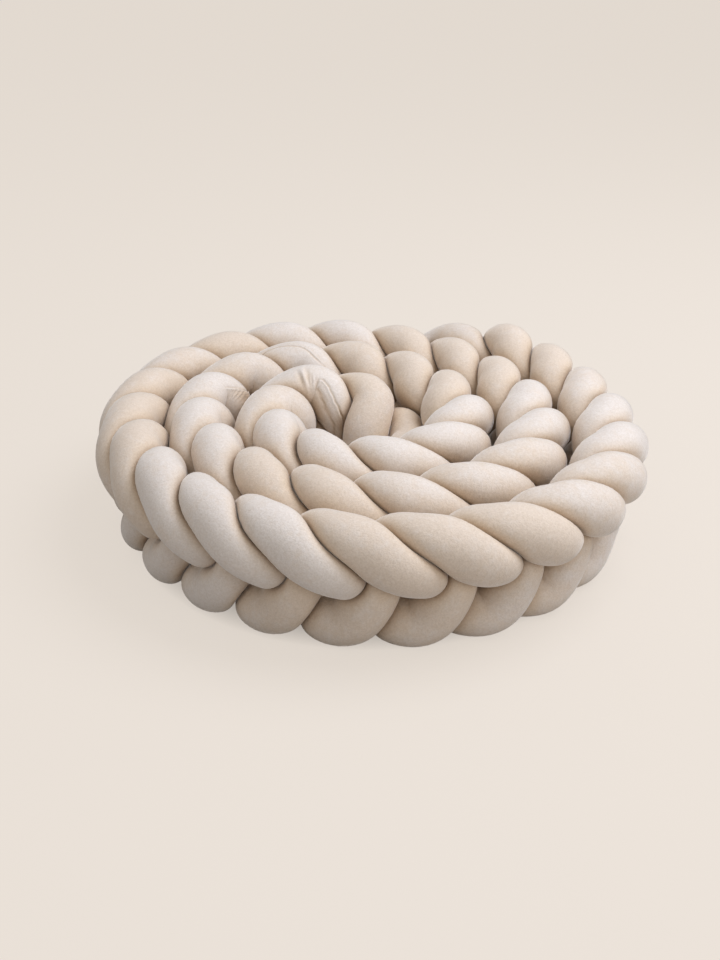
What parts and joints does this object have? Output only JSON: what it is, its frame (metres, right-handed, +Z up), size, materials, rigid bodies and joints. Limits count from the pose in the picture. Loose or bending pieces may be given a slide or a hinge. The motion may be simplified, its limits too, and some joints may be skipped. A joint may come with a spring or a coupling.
{
  "type": "braided crib bumper",
  "caption": "Stuffed velvet tubes plaited into a long fat braid, stood on edge and rolled into a flat spiral; unrolled, it pads the inside edge of a crib.",
  "frame": {"origin": "middle of the roll's outline, on the surface that it rests on", "axes": "+Z up, across the plait's height; +Y to the back, where the outer end lies"},
  "size_m": [0.6854, 0.6877, 0.1775],
  "materials": {
    "velvet": "short-pile velvet, matt with a soft sheen"
  },
  "bodies": {
    "root": {"strand_a": "velvet", "strand_b": "velvet", "strand_c": "velvet"}
  },
  "joints": []
}
